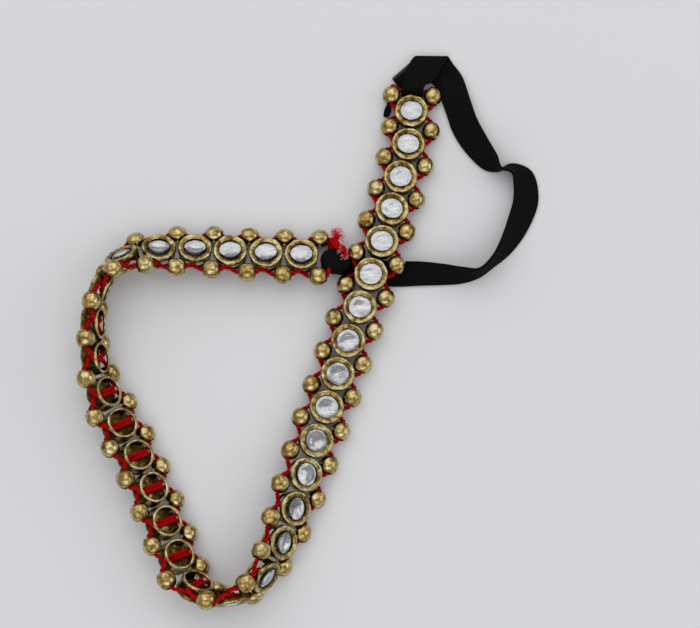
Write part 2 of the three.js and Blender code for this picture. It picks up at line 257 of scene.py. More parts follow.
def drum_mesh():
    """One drum, turned from its outline about its own axis, with the windows left open."""
    rows = len(drum_outline)
    points, faces = [], []
    for step in range(SIDES):
        turn = 2 * math.pi * step / SIDES
        points += [(r * math.cos(turn) * MM, r * math.sin(turn) * MM, z * MM) for r, z in drum_outline]
    quarter = SIDES // 4
    low_out, low_in = window_top_out + 1, window_top_in - 1

    def spot(step, row):
        return (step % SIDES) * rows + row

    def in_window(step):
        return min((step - quarter) % (2 * quarter), (quarter - 1 - step) % (2 * quarter)) < WINDOW_REACH

    for step in range(SIDES):
        for row in range(rows - 1):
            if in_window(step) and row in (window_top_out, low_in):
                continue
            faces.append([spot(step, row), spot(step, row + 1), spot(step + 1, row + 1), spot(step + 1, row)])
        if in_window(step):
            for upper, lower in ((window_top_out, window_top_in), (low_in, low_out)):
                faces.append([spot(step, upper), spot(step, lower), spot(step + 1, lower),
                              spot(step + 1, upper)])
        if in_window(step) != in_window(step + 1):
            edge = [spot(step + 1, row) for row in (window_top_out, low_out, low_in, window_top_in)]
            faces.append(edge if in_window(step + 1) else edge[::-1])
    mesh = bpy.data.meshes.new("drum")
    mesh.from_pydata(points, [], faces)
    return mesh


def marked(mesh, name, amounts):
    """Keeps a number for each corner point of a mesh, which its finish or its node tree reads."""
    mesh.attributes.new(name, "FLOAT", "POINT").data.foreach_set("value", amounts)


def welded(mesh):
    """Joins the points that lie on each other, as at the middle of a round, and turns every face outwards."""
    work = bmesh.new()
    work.from_mesh(mesh)
    bmesh.ops.remove_doubles(work, verts=work.verts, dist=1e-6)
    bmesh.ops.recalc_face_normals(work, faces=work.faces)
    work.to_mesh(mesh)
    work.free()
    return mesh


def tree_with(name, *numbers, **others):
    """An empty node tree for a starting mesh, with named inputs for numbers and for other things."""
    tree = bpy.data.node_groups.new(name, "GeometryNodeTree")
    tree.interface.new_socket("Made", in_out="OUTPUT", socket_type="NodeSocketGeometry")
    for label, kind in {"Start": "Geometry", **others, **dict.fromkeys(numbers, "Float")}.items():
        tree.interface.new_socket(label, in_out="INPUT", socket_type="NodeSocket" + kind)
    return tree, node(tree, "NodeGroupInput").outputs


def made(name, tree, start, **values):
    """Runs a node tree on a starting mesh, and keeps what it makes as a plain mesh of its own."""
    piece = bpy.data.objects.new(name, start)
    scene.collection.objects.link(piece)
    worker = piece.modifiers.new("work", "NODES")
    worker.node_group = tree
    for socket in tree.interface.items_tree:
        key = socket.name.lower().replace(" ", "_")
        if socket.in_out == "INPUT" and key in values:
            worker[socket.identifier] = values[key]
    shown = bpy.context.evaluated_depsgraph_get()
    seen = piece.evaluated_get(shown)
    result = bpy.data.meshes.new_from_object(seen, preserve_all_data_layers=True, depsgraph=shown)
    piece.modifiers.clear()
    piece.data = result
    result.name = name
    return piece


def swayed(link, way, most):
    """A small turn out of true about two axes, as hand-laced pieces have. A piece always has the same one."""
    chance = random.Random(f"{link} {way}")
    tipped = Matrix.Rotation(chance.uniform(-most, most), 4, "X")
    return tipped @ Matrix.Rotation(chance.uniform(-most, most), 4, "Y")


BEAD_NEARER = 0.18  # how far the lacing pulls the beads in towards the settings
bead_row = BEAD_OFFSET - BEAD_NEARER


def strip_points(name, links, ways, most, **marks):
    """Bare points where like pieces go on the strip, each with its turn and with any other marks."""
    places = []
    for link in links:
        for way in ways:
            offset = Matrix.Translation((0, way * bead_row * MM, 0))
            places.append(strip_frame(link) @ offset @ swayed(link, way, math.radians(most)))
    mesh = bpy.data.meshes.new(name)
    mesh.from_pydata([place.translation for place in places], [], [])
    turns = mesh.attributes.new("turn", "QUATERNION", "POINT")
    turns.data.foreach_set("value", [part for place in places for part in place.to_quaternion()])
    for mark, amounts in marks.items():
        marked(mesh, mark, amounts)
    return mesh


def pattern_piece(name, mesh):
    """A piece that only serves as the pattern for its copies. It is removed once they are made."""
    pattern = bpy.data.objects.new(name, mesh)
    scene.collection.objects.link(pattern)
    return pattern


def sums(tree, operation, *values, **settings):
    """One or more values put through a sum."""
    return node(tree, "ShaderNodeMath", dict(enumerate(values)), operation=operation, **settings).outputs[0]


def kept(tree, name, kind="FLOAT"):
    """What a mesh keeps under a name, for a node tree to read."""
    return node(tree, "GeometryNodeInputNamedAttribute", {"Name": name}, data_type=kind).outputs["Attribute"]


def mark_of(tree, name):
    """What a mesh keeps under a name, for its finish to read."""
    return node(tree, "ShaderNodeAttribute", attribute_name=name).outputs["Fac"]


def pushed(tree, geometry, height):
    """The surface moved out along its normals."""
    normal = node(tree, "GeometryNodeInputNormal").outputs[0]
    push = node(tree, "ShaderNodeVectorMath", {0: normal, "Scale": height}, operation="SCALE").outputs[0]
    return node(tree, "GeometryNodeSetPosition", {"Geometry": geometry, "Offset": push}).outputs[0]


def rested(tree, geometry):
    """The surface pressed flat where it would go through the table."""
    place = node(tree, "GeometryNodeInputPosition").outputs[0]
    lowest = (-TABLE_REACH, -TABLE_REACH, 0.0)
    above = node(tree, "ShaderNodeVectorMath", {0: place, 1: lowest}, operation="MAXIMUM").outputs[0]
    return node(tree, "GeometryNodeSetPosition", {"Geometry": geometry, "Position": above}).outputs[0]


def completed(tree, geometry, finish):
    """Ends a node tree: copies made real, the surface smooth, and its finish on it."""
    real = node(tree, "GeometryNodeRealizeInstances", {"Geometry": geometry}).outputs[0]
    smooth = node(tree, "GeometryNodeSetShadeSmooth", {"Geometry": real}).outputs[0]
    coated = node(tree, "GeometryNodeSetMaterial", {"Geometry": smooth, "Material": finish}).outputs[0]
    node(tree, "NodeGroupOutput", {"Made": coated})


def roughened(tree, shader, height, strength, distance):
    """Fine relief in a finish."""
    bump = node(tree, "ShaderNodeBump", {"Height": height, "Strength": strength, "Distance": distance})
    tree.links.new(bump.outputs["Normal"], shader.inputs["Normal"])


# The copies of a piece are set on the points, spun about their own run, and dented where the piece says so.
laying, given = tree_with("lay_copies", "Spin", "Dent width", "Dent depth", "Least shade", "Most shade",
                          Pattern="Object", Finish="Material", Seed="Int")
copied = node(laying, "GeometryNodeObjectInfo", {"Object": given["Pattern"]}).outputs["Geometry"]
turn = kept(laying, "turn", "QUATERNION")
laid = node(laying, "GeometryNodeInstanceOnPoints",
            {"Points": given["Start"], "Rotation": turn, "Instance": copied})
spin = node(laying, "FunctionNodeRandomValue", {"Min": 0.0, "Max": given["Spin"], "Seed": given["Seed"]})
spin_about = node(laying, "ShaderNodeCombineXYZ", {"X": spin.outputs["Value"]}).outputs[0]
spun = node(laying, "GeometryNodeRotateInstances", {"Instances": laid.outputs[0], "Rotation": spin_about})
any_shade = node(laying, "FunctionNodeRandomValue", {"Min": given["Least shade"], "Max": given["Most shade"],
                                                     "Seed": given["Seed"]}).outputs["Value"]
shaded = node(laying, "GeometryNodeStoreNamedAttribute",
              {"Geometry": spun.outputs[0], "Name": "shade", "Value": any_shade},
              data_type="FLOAT", domain="INSTANCE")
real = node(laying, "GeometryNodeRealizeInstances", {"Geometry": shaded.outputs[0]}).outputs[0]
waves = sums(laying, "DIVIDE", 1.0, given["Dent width"])
dents = node(laying, "ShaderNodeTexNoise", {"Scale": waves, "Detail": 1.0}).outputs["Fac"]
depth = sums(laying, "MULTIPLY", sums(laying, "SUBTRACT", dents, 0.5), given["Dent depth"])
dented = pushed(laying, real, sums(laying, "MULTIPLY", depth, kept(laying, "worked")))
completed(laying, rested(laying, dented), given["Finish"])

# Aged brass: bright where it is rubbed, brown with patina in the recesses, with fine scratches and small
# pits.
# The recess mark also paints shade under the rims and in the beads' drill holes. Some pieces are greener and
# some warmer.
brass, tree, shader = painted("aged_brass", metallic=1.0)
shade = mark_of(tree, "shade")
grime_and_shade = sums(tree, "MULTIPLY_ADD", noise(tree, 520.0, 4.0), 1.3, -0.8)
grime_and_shade = sums(tree, "MULTIPLY_ADD", noise(tree, 1700.0, 3.0), 0.55, grime_and_shade)
grime_and_shade = sums(tree, "MULTIPLY_ADD", shade, 0.12, grime_and_shade)
# Painted shade: the recess mark adds patina and grime, and painted shade under the rims and in the drill
# holes.
grime_and_shade = sums(tree, "ADD", grime_and_shade, mark_of(tree, "recess"), use_clamp=True)
blackest = (1.0, (0.012, 0.005, 0.001))
green = shades(tree, grime_and_shade, (0.0, (0.60, 0.56, 0.36)), (0.25, (0.37, 0.30, 0.11)), (0.5, (0.12, 0.07, 0.014)),
               blackest)
warm = shades(tree, grime_and_shade, (0.0, (0.72, 0.57, 0.30)), (0.25, (0.46, 0.31, 0.09)), (0.5, (0.14, 0.07, 0.012)),
              blackest)
tint = node(tree, "ShaderNodeMix", {"Factor": shade, "A": green, "B": warm}, data_type="RGBA")
tree.links.new(tint.outputs["Result"], shader.inputs["Base Color"])
tree.links.new(shades(tree, grime_and_shade, (0.0, 0.13), (0.3, 0.23), (1.0, 0.6)), shader.inputs["Roughness"])
pits = sums(tree, "ADD", noise(tree, 2600.0, 5.0), noise(tree, 700.0, 2.0))
roughened(tree, shader, pits, strength=0.35, distance=0.1 * MM)

SETTING_SWAY = 3.0
CUP_FLOOR = 1.2
HAMMERED_FROM, BACK_FLOOR_TO = 3.8, 3  # the rim and the floor's back are hammered, the rest barely
HAMMERED, BARELY = 1.0, 0.25
WORN_ANGLE = math.radians(50)
WORN_EDGE = 0.12
# How dark each point of the dish, under the rim, on the wire and inside is made: patina and grime, and under
# the rim painted shade, where the drum's side lies in shadow.
drum_recess = [0.9, 0.9, 0.9, 0.8, 0.5, 0.28, 0.22, 0.15, 0.02, 0.0, 0.12]
drum_recess += [0.22, 0.36, 0.5, 0.5, 0.42]
drum_recess += [0.35, 0.16, 0.06, 0.03, 0.03, 0.1, 0.2]
drum_recess += [0.4, 0.5, 0.5, 0.5, 0.38, 0.3, 0.34]
drum = drum_mesh()
marked(drum, "recess", drum_recess * SIDES)
hammered = [z > CUP_FLOOR and r > HAMMERED_FROM or r < BACK_FLOOR_TO and z < CUP_FLOOR
            for r, z in drum_outline]
marked(drum, "worked", [HAMMERED if here else BARELY for here in hammered] * SIDES)
drum_pattern = pattern_piece("drum_pattern", welded(drum))
rounding = drum_pattern.modifiers.new("worn_edges", "BEVEL")
rounding.limit_method = "ANGLE"
rounding.angle_limit = WORN_ANGLE
rounding.width = WORN_EDGE * MM
rounding.segments = 2
links = range(1, SETTINGS + 1)
settings = made("brass_settings", laying, strip_points("setting_places", links, (0,), SETTING_SWAY),
                pattern=drum_pattern, finish=brass, spin=0.0, dent_width=1.8 * MM, dent_depth=0.7 * MM,
                seed=0, least_shade=0.0, most_shade=0.6)
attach(settings, "root")
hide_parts(*[f"setting_{link:02d}" for link in links])
bpy.data.objects.remove(drum_pattern)

# ------------------------------------------------------------
# The stones. Each is a domed round of clear glass, set down in its recess on crinkled silver foil, so it
# shines like a small mirror. On a few stones the foil carries a painted reflection: dark patches for the dark
# camera above.
DOME = [(0, 2.85), (0.8, 2.79), (1.6, 2.62), (2.35, 2.35), (2.95, 2.06), (3.33, 1.85), (3.54, 1.7),
        (3.6, 1.58), (3.54, 1.43), (0, 1.43)]
FOIL = [(0, 1.41), (1.7, 1.41), (3.5, 1.41), (3.52, 1.36), (3.5, 1.31), (0, 1.31)]
STONE_SIDES = 48


def turned(name, outline, sides):
    """A closed piece turned about its own axis. The outline runs from the axis to the axis."""
    points = []
    for r, z in outline:
        for step in range(sides):
            turn = 2 * math.pi * step / sides
            points.append((r * math.cos(turn) * MM, r * math.sin(turn) * MM, z * MM))
    faces = []
    for row in range(len(outline) - 1):
        here, below = row * sides, (row + 1) * sides
        for step in range(sides):
            after = (step + 1) % sides
            faces.append((here + step, below + step, below + after, here + after))
    mesh = bpy.data.meshes.new(name)
    mesh.from_pydata(points, [], faces)
    return welded(mesh)


silver_foil, tree, shader = painted("silver_foil", roughness=0.14, metallic=1.0)
# Painted reflection: the marked stones and the blotches get dark patches, for the dark camera mirrored in the
# foil.
blotches = sums(tree, "MULTIPLY_ADD", noise(tree, 300.0, 2.0), 2.6, -1.65)
dark_reflection_amount = sums(tree, "ADD", mark_of(tree, "tarnish"), blotches, use_clamp=True)
streaks = noise(tree, 900.0, 4.0, stretch=(0.35, 1.0, 1.0))
silver = shades(tree, streaks, (0.3, (0.45, 0.455, 0.46)), (0.55, (0.59, 0.595, 0.60)),
                (0.75, (0.74, 0.745, 0.75)))
darkly_reflecting = node(tree, "ShaderNodeMix", {"Factor": dark_reflection_amount, "A": silver, "B": (0.06, 0.05, 0.045, 1)},
              data_type="RGBA")
tree.links.new(darkly_reflecting.outputs["Result"], shader.inputs["Base Color"])
roughened(tree, shader, noise(tree, 320.0, 3.0), strength=0.6, distance=0.3 * MM)
clear_glass, tree, shader = painted("clear_glass", roughness=0.02, Transmission_Weight=1.0, IOR=1.31)
worn = noise(tree, 1500.0, 3.0)
clarity = shades(tree, worn, (0.3, (0.93, 0.94, 0.95)), (0.7, (1.0, 1.0, 1.0)))
tree.links.new(clarity, shader.inputs["Base Color"])
roughened(tree, shader, worn, strength=0.06, distance=0.05 * MM)

# Painted reflection: how much of each stone's foil shows the dark reflection of the camera above.
dark_reflection_stones = {7: 0.3, 9: 0.55, 10: 0.15, 11: 0.15, 12: 0.2, 13: 0.6, 14: 0.4, 15: 0.35, 16: 0.25}
dark_reflection_marks = [dark_reflection_stones.get(link, 0) for link in links]
for name, outline, finish in (("stone_foils", FOIL, silver_foil), ("glass_stones", DOME, clear_glass)):
    pattern = pattern_piece(name + "_pattern", turned(name + "_pattern", outline, STONE_SIDES))
    places = strip_points(name, links, (0,), SETTING_SWAY, tarnish=dark_reflection_marks)
    piece = made(name, laying, places, pattern=pattern, finish=finish, spin=0.0, dent_width=MM,
                 dent_depth=0.0, seed=0, least_shade=0.0, most_shade=1.0)
    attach(piece, "root")
    bpy.data.objects.remove(pattern)

# ------------------------------------------------------------
# The side beads. Each is a hollow brass round, slightly barrel shaped, drilled through along the strip. They
# sit between the settings, one row along each edge, and turn freely on the cord.
BEAD_SIDES = 28
BEAD_STEPS = 14
BEAD_HALF_LENGTH = 2.72
BORE, MOUTH_LIP = 1.2, 1.5
MOUTH_FLARE, MOUTH_DEPTH, MOUTH_EDGE = 0.12, 0.3, 0.04  # how the drill hole opens out at each end
FULLNESS = 0.8  # below 1 the bead is fuller than a ball, like a small barrel
BEAD_SWELL = 0.1
BEAD_SWAY = 6
bead_radius = BEAD_RADIUS + BEAD_SWELL
lip_angle = math.asin((MOUTH_LIP / bead_radius) ** (1 / FULLNESS))
bead_outline = [(BORE, 0.0), (BORE, -BEAD_HALF_LENGTH + MOUTH_DEPTH),
                (BORE + MOUTH_FLARE, -BEAD_HALF_LENGTH + MOUTH_EDGE)]
for step in range(BEAD_STEPS + 1):
    angle = lip_angle + (math.pi - 2 * lip_angle) * step / BEAD_STEPS
    along = -BEAD_HALF_LENGTH * math.cos(angle) / math.cos(lip_angle)
    bead_outline.append((bead_radius * math.sin(angle) ** FULLNESS, along))
bead_outline += [(BORE + MOUTH_FLARE, BEAD_HALF_LENGTH - MOUTH_EDGE), (BORE, BEAD_HALF_LENGTH - MOUTH_DEPTH)]
bead_points, bead_faces = [], []
for step in range(BEAD_SIDES):
    turn = 2 * math.pi * step / BEAD_SIDES
    bead_points += [(x * MM, r * math.cos(turn) * MM, r * math.sin(turn) * MM) for r, x in bead_outline]
rows = len(bead_outline)
for step in range(BEAD_SIDES):
    here, there = step * rows, (step + 1) % BEAD_SIDES * rows
    for row in range(rows):
        after = (row + 1) % rows
        bead_faces.append((here + row, there + row, there + after, here + after))
bead = bpy.data.meshes.new("bead_pattern")
bead.from_pydata(bead_points, [], bead_faces)
IN_THE_BORE = 0.6  # more grime and painted shade than this lies only in the drill hole, which has no dents
# The drill hole and the mouths are painted dark: painted shade inside the bore.
bead_recess = [1.0, 1.0, 0.7, 0.3, 0.15] + [0.0] * (BEAD_STEPS - 3) + [0.15, 0.3, 0.7, 1.0]
marked(bead, "recess", bead_recess * BEAD_SIDES)
marked(bead, "worked", [0.0 if level > IN_THE_BORE else 1.0 for level in bead_recess] * BEAD_SIDES)
bead_pattern = pattern_piece("bead_pattern", welded(bead))
bead_links = [half + 0.5 for half in range(SETTINGS + 1)]
beads = made("side_beads", laying, strip_points("bead_places", bead_links, (-1, 1), BEAD_SWAY),
             pattern=bead_pattern, finish=brass, spin=2 * math.pi, dent_width=2.5 * MM, dent_depth=0.28 * MM,
             seed=4, least_shade=0.45, most_shade=1.0)
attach(beads, "root")
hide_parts("bead_string_a", "bead_string_b")
bpy.data.objects.remove(bead_pattern)

# ------------------------------------------------------------
# The red cord. One length of three-ply thread is doubled. Each half goes through a bead, across the next drum
# from window to window and through the bead on the far side. The halves join in a loop past the first beads.
LANE, LANE_FLARE = 0.57, 0.4  # how far the two cords keep apart in a drum, and bend aside at its windows
UPPER_CORD, LOWER_CORD, MIDDLE_CORD = 0.1, -1.4, -0.65
MOUTH_SLACK, MOUTH_REACH = 0.15, 2.6
WALL_PASS, SHOULDER = 3.4, 4.35
LEG_ALONG, LEG_OUT = 1.9, 5.8
CORD_LOOP = [(-7.6, 0.0, -0.92), (-7.6, 2.0, -0.92), (-7.6, 3.95, -0.92), (-8.0, 4.95, -0.8),
             (-8.75, 6.1, -0.3)]
INTO_KNOT = {-1: (6.2, 26.6, 4.6), 1: (4.7, 17.2, 2.4)}  # where each half ends, on one side of the knot


def cord_half(side):
    """The places that one half of the cord passes, from the middle of the loop to the knot."""
    route = [in_strip(1, along, side * across, dip) for along, across, dip in CORD_LOOP]
    for link in bead_links:
        route.append(in_strip(link, -MOUTH_REACH, side * bead_row, side * MOUTH_SLACK))
        route.append(in_strip(link, MOUTH_REACH, side * bead_row, -side * MOUTH_SLACK))
        if link < SETTINGS:
            twist = lay("roll", link + 1) - lay("roll", link)
            dip = UPPER_CORD if (side > 0) == (twist > 0) else LOWER_CORD
            lane = -side * LANE
            for along, across in ((-LEG_ALONG, LEG_OUT), (lane - LANE_FLARE, SHOULDER), (lane, WALL_PASS),
                                  (lane, 0), (lane, -WALL_PASS), (lane + LANE_FLARE, -SHOULDER),
                                  (LEG_ALONG, -LEG_OUT)):
                height = dip if side * across < 0 else MIDDLE_CORD
                route.append(in_strip(link + 0.5, along, side * across, height))
            side = -side
    route.append(Vector(INTO_KNOT[side]) * MM)
    return route


def line_mesh(name, *routes):
    """Bare lines through places, to be made into thread."""
    points = [place for route in routes for place in route]
    edges, first = [], 0
    for route in routes:
        edges += [(first + i, first + i + 1) for i in range(len(route) - 1)]
        first += len(route)
    mesh = bpy.data.meshes.new(name)
    mesh.from_pydata(points, edges, [])
    return mesh


# A line becomes three plies, laid round each other.
PLIES = 3
PLY_SIDES = 7
spinning, given = tree_with("spin_thread", "Ply radius", "Ply offset", "Step", "Turn every",
                            Finish="Material")
line = node(spinning, "GeometryNodeMeshToCurve", {"Mesh": given["Start"]})
curved = node(spinning, "GeometryNodeCurveSplineType", {"Curve": line.outputs[0]}, spline_type="CATMULL_ROM")
evened = node(spinning, "GeometryNodeResampleCurve", {"Curve": curved.outputs[0], "Length": given["Step"]},
              mode="LENGTH")
steady = node(spinning, "GeometryNodeSetCurveNormal", {"Curve": evened.outputs[0]})
length = node(spinning, "GeometryNodeSplineParameter").outputs["Length"]
tilt = sums(spinning, "MULTIPLY", sums(spinning, "DIVIDE", length, given["Turn every"]), 2 * math.pi)
tilted = node(spinning, "GeometryNodeSetCurveTilt", {"Curve": steady.outputs[0], "Tilt": tilt})
plies = node(spinning, "GeometryNodeJoinGeometry")
for ply in range(PLIES):
    angle = 2 * math.pi * ply / PLIES
    ring = node(spinning, "GeometryNodeCurvePrimitiveCircle",
                {"Resolution": PLY_SIDES, "Radius": given["Ply radius"]})
    away = node(spinning, "ShaderNodeVectorMath",
                {0: (math.cos(angle), math.sin(angle), 0), "Scale": given["Ply offset"]}, operation="SCALE")
    moved = node(spinning, "GeometryNodeTransform",
                 {"Geometry": ring.outputs["Curve"], "Translation": away.outputs[0]})
    spinning.links.new(moved.outputs[0], plies.inputs[0])
thread = node(spinning, "GeometryNodeCurveToMesh",
              {"Curve": tilted.outputs[0], "Profile Curve": plies.outputs[0], "Fill Caps": True})
completed(spinning, thread.outputs[0], given["Finish"])

red_thread, tree, shader = painted("red_thread", roughness=0.8, Specular_IOR_Level=0.12)
fibres = noise(tree, 3500.0, 4.0)
reds = shades(tree, fibres, (0.3, (0.30, 0.0, 0.0)), (0.7, (0.62, 0.0, 0.001)))
tree.links.new(reds, shader.inputs["Base Color"])
roughened(tree, shader, fibres, strength=0.4, distance=0.1 * MM)
PLY = dict(ply_radius=0.40 * MM, ply_offset=0.34 * MM, step=0.45 * MM, turn_every=3.6 * MM)
for name, side in (("cord_half_a", -1), ("cord_half_b", 1)):
    cord = made(name, spinning, line_mesh(name, cord_half(side)), finish=red_thread, **PLY)
    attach(cord, "root")

# ------------------------------------------------------------
# The elastic. One length of black knitted elastic closes the band. It leaves the knot, goes under the strip,
# stands on its edge round two bends, and folds over above the first setting, where it is turned through the
# loop of the cord and tucked back under itself.
TAPE_THICKNESS = 1.0
# A row for each bend: the middle's place, which way the width points and how far it leans up, and the width.
TAPE = [
    dict(x=5.3, y=20.6, across=88, lean=0, width=6.6),
    dict(x=11, y=19.6, across=84, lean=0, width=7.6),
    dict(x=16.5, y=18.1, across=78, lean=0, width=8.2),
    dict(x=22, y=17.1, across=85, lean=0, width=8.4),
    dict(x=28, y=16.8, across=88, lean=5, width=8.4),
    dict(x=34, y=16.5, across=87, lean=33, width=8.4),
    dict(x=40.5, y=16.1, across=87, lean=48, width=8.4),
    dict(x=47.2, y=15.7, across=92, lean=66, width=8.6),
    dict(x=52.5, y=16.4, across=113, lean=83, width=9),
    dict(x=57, y=20.1, across=137, lean=79, width=9),
    dict(x=61, y=24.9, across=144, lean=61, width=9),
    dict(x=65.2, y=32.7, across=151, lean=37, width=9),
    dict(x=68, y=41, across=181, lean=21, width=9),
    dict(x=67, y=48.4, across=217, lean=30, width=9),
    dict(x=63.4, y=50.8, across=262, lean=58, width=9),
    dict(x=59.6, y=50.4, across=272, lean=82, width=9),
    dict(x=56.8, y=52.6, across=222, lean=118, width=9),
    dict(x=52.3, y=58.9, across=212, lean=150, width=9),
    dict(x=48.6, y=65.8, across=208, lean=160, width=9.3),
    dict(x=46.4, y=72.8, across=207, lean=166, width=9.2),
    dict(x=43.8, y=80.4, across=204, lean=174, width=9.5),
    dict(x=40.4, y=85.2, across=200, lean=180, width=10.2),
    dict(x=39, y=87.7, across=186, lean=180, width=10.8, lift=0.1),
    dict(x=38.2, y=88.8, across=180, lean=180, width=11, lift=1.1),
    dict(x=37.3, y=87.7, across=-6, lean=0, width=10.8, lift=2.1),
    dict(x=35.9, y=85.4, across=-20, lean=0, width=10.2, lift=2.3),
    dict(x=33.9, y=81.8, across=-22, lean=0, width=9.6, lift=2.8),
    dict(x=32.2, y=79.2, across=-8, lean=0, width=7.5, lift=3.3),
    dict(x=31.7, y=77.2, across=-3, lean=0, width=7.2, lift=2.9),
    dict(x=31.65, y=75.75, across=-3, lean=0, width=7.1, lift=1.45),
    dict(x=31.7, y=77.2, across=177, lean=180, width=7.2),
    dict(x=31, y=79.6, across=192, lean=180, width=7.4),
    dict(x=29.8, y=82.1, across=212, lean=180, width=8, lift=0.1),
    dict(x=28.1, y=84.6, across=222, lean=180, width=8, lift=0.2),
]
RIBS = 9
TAPE_COLUMNS = 45
STATION_STEP, LEAST_STEPS = 0.35, 8


def tape_edges(row):
    """The two edges of the elastic at a row of its table. Its width stands up as far as it leans."""
    turn, rise = math.radians(row["across"]), math.radians(row["lean"])
    flat, width = math.cos(rise), row["width"]
    line = Vector((math.cos(turn) * flat, math.sin(turn) * flat, math.sin(rise)))
    rest = (width * abs(line.z) + TAPE_THICKNESS * abs(flat)) / 2
    centre = Vector((row["x"], row["y"], rest + row.get("lift", 0)))
    return centre - line * width / 2, centre + line * width / 2


def smooth_line(points, at):
    """A place on a smooth line through some points. It passes the points at whole numbers."""
    last = len(points) - 1
    i = min(int(at), last - 1)
    before = points[i - 1] if i > 0 else 2 * points[0] - points[1]
    after = points[i + 2] if i + 2 <= last else 2 * points[last] - points[last - 1]
    a, b = points[i], points[i + 1]
    gap = math.sqrt((b - a).length)
    gap_before, gap_after = math.sqrt((a - before).length), math.sqrt((after - b).length)
    leaving = (a - before) / gap_before - (b - before) / (gap_before + gap) + (b - a) / gap
    coming = (b - a) / gap - (after - a) / (gap + gap_after) + (after - b) / gap_after
    t = at - i
    rise = t * t * (3 - 2 * t)
    return a + (b - a) * rise + leaving * gap * t * (1 - t) ** 2 - coming * gap * t * t * (1 - t)


ROUND_SHARE, EDGE_THINNING = 0.1, 0.8  # the share of its half width where the tape thins, and how much


def ribbon(name, stations, thickness, columns):
    """A closed flat strip. A station has a middle, a line over the full width and a direction through it."""
    points, across, run, gone = [], [], [], 0
    shares = [column / columns - 0.5 for column in range(columns + 1)]
    ring = [(share, 1) for share in shares] + [(share, -1) for share in reversed(shares)]
    for i, (centre, line, face) in enumerate(stations):
        gone += (centre - stations[max(i - 1, 0)][0]).length
        for share, way in ring:
            edge = max(abs(share) * 2 - (1 - ROUND_SHARE), 0) / ROUND_SHARE
            half = thickness / 2 * math.sqrt(1 - EDGE_THINNING * edge ** 2)
            points.append((centre + line * share + face * way * half) * MM)
            across.append(share + 0.5)
            run.append(gone)
    rows = len(ring)
    faces = [tuple(range(rows))[::-1]]
    for i in range(len(stations) - 1):
        here, there = i * rows, (i + 1) * rows
        faces += [(here + k, here + (k + 1) % rows, there + (k + 1) % rows, there + k) for k in range(rows)]
    faces.append(tuple(range((len(stations) - 1) * rows, len(stations) * rows)))
    mesh = bpy.data.meshes.new(name)
    mesh.from_pydata(points, [], faces)
    marked(mesh, "across", across)
    marked(mesh, "run", run)
    return mesh


# The knit. Narrow grooves part its ribs, its rows of stitches swell, and it puckers where it is gathered.
knitting, given = tree_with("knit", "Ribs", "Groove", "Stitch", "Swell", "Pucker", "Pucker every",
                            Finish="Material")
run = kept(knitting, "run")
rib = sums(knitting, "MULTIPLY", kept(knitting, "across"), given["Ribs"])
valley = sums(knitting, "ABSOLUTE", sums(knitting, "SUBTRACT", sums(knitting, "FRACT", rib), 0.5))
valley = sums(knitting, "POWER", sums(knitting, "MULTIPLY", valley, 2.0), 5.0)
deep = sums(knitting, "MULTIPLY", valley, sums(knitting, "MULTIPLY", given["Groove"], -1.0))
beat = sums(knitting, "DIVIDE", run, given["Stitch"])
beat = sums(knitting, "ADD", beat, sums(knitting, "MULTIPLY", rib, 0.5))
beat = sums(knitting, "SINE", sums(knitting, "MULTIPLY", beat, 2 * math.pi))
swell = sums(knitting, "MULTIPLY", beat, given["Swell"])
wander = node(knitting, "ShaderNodeTexNoise", {"Scale": 260.0, "Detail": 2.0}).outputs["Fac"]
fold = sums(knitting, "ADD", sums(knitting, "DIVIDE", run, given["Pucker every"]), wander)
fold = sums(knitting, "SINE", sums(knitting, "MULTIPLY", fold, 2 * math.pi))
fold = sums(knitting, "MULTIPLY", fold, sums(knitting, "MULTIPLY", kept(knitting, "gather"), given["Pucker"]))
height = sums(knitting, "ADD", sums(knitting, "ADD", deep, swell), fold)
completed(knitting, rested(knitting, pushed(knitting, given["Start"], height)), given["Finish"])

black_knit, tree, shader = painted("black_knit", roughness=0.85, Specular_IOR_Level=0.07)
rib = sums(tree, "FRACT", sums(tree, "MULTIPLY", mark_of(tree, "across"), RIBS))
ridge = sums(tree, "SUBTRACT", 1.0, sums(tree, "ABSOLUTE", sums(tree, "MULTIPLY_ADD", rib, 2.0, -1.0)))
# Painted highlight and shade: the ribs' crests are painted lighter and their grooves darker, over the yarn's
# own fine mottle.
fibres_and_rib_light = sums(tree, "MULTIPLY", noise(tree, 1800.0, 5.0), sums(tree, "ADD", ridge, 0.5))
black = shades(tree, fibres_and_rib_light, (0.1, (0.0018, 0.0018, 0.0018)), (0.5, (0.004, 0.004, 0.0042)),
               (0.8, (0.009, 0.009, 0.009)))
ends = node(tree, "ShaderNodeMix", {"Factor": mark_of(tree, "cut"), "A": black, "B": (0.10, 0.12, 0.10, 1)},
            data_type="RGBA")
tree.links.new(ends.outputs["Result"], shader.inputs["Base Color"])
roughened(tree, shader, noise(tree, 2400.0, 3.0), strength=0.5, distance=0.1 * MM)
KNIT = dict(ribs=RIBS, groove=0.07 * MM, stitch=0.9, swell=0.03 * MM, pucker=0.13 * MM, pucker_every=1.0,
            finish=black_knit)

# The rows of the table between which the tape is drawn in, lets go again, and has its pale cut end.
DRAWN_IN, LET_GO, AT_KNOT = (25, 27.5), (33, 31), (2.5, 0)
CUT_END, CUT_PALENESS = (32.6, 33), 0.8
LOOK_ROUND = 0.03  # how far to each side, in rows, the tape's direction is read
edges = [tape_edges(row) for row in TAPE]
right, left = [edge[0] for edge in edges], [edge[1] for edge in edges]
last_row = len(TAPE) - 1


def tape_middle(at):
    """The middle of the tape at a row of its table, or part of the way to the next."""
    return (smooth_line(right, at) + smooth_line(left, at)) / 2


def ease(low, high, value):
    """How far a value is from one limit to the other, from 0 to 1."""
    return min(max((value - low) / (high - low), 0), 1)


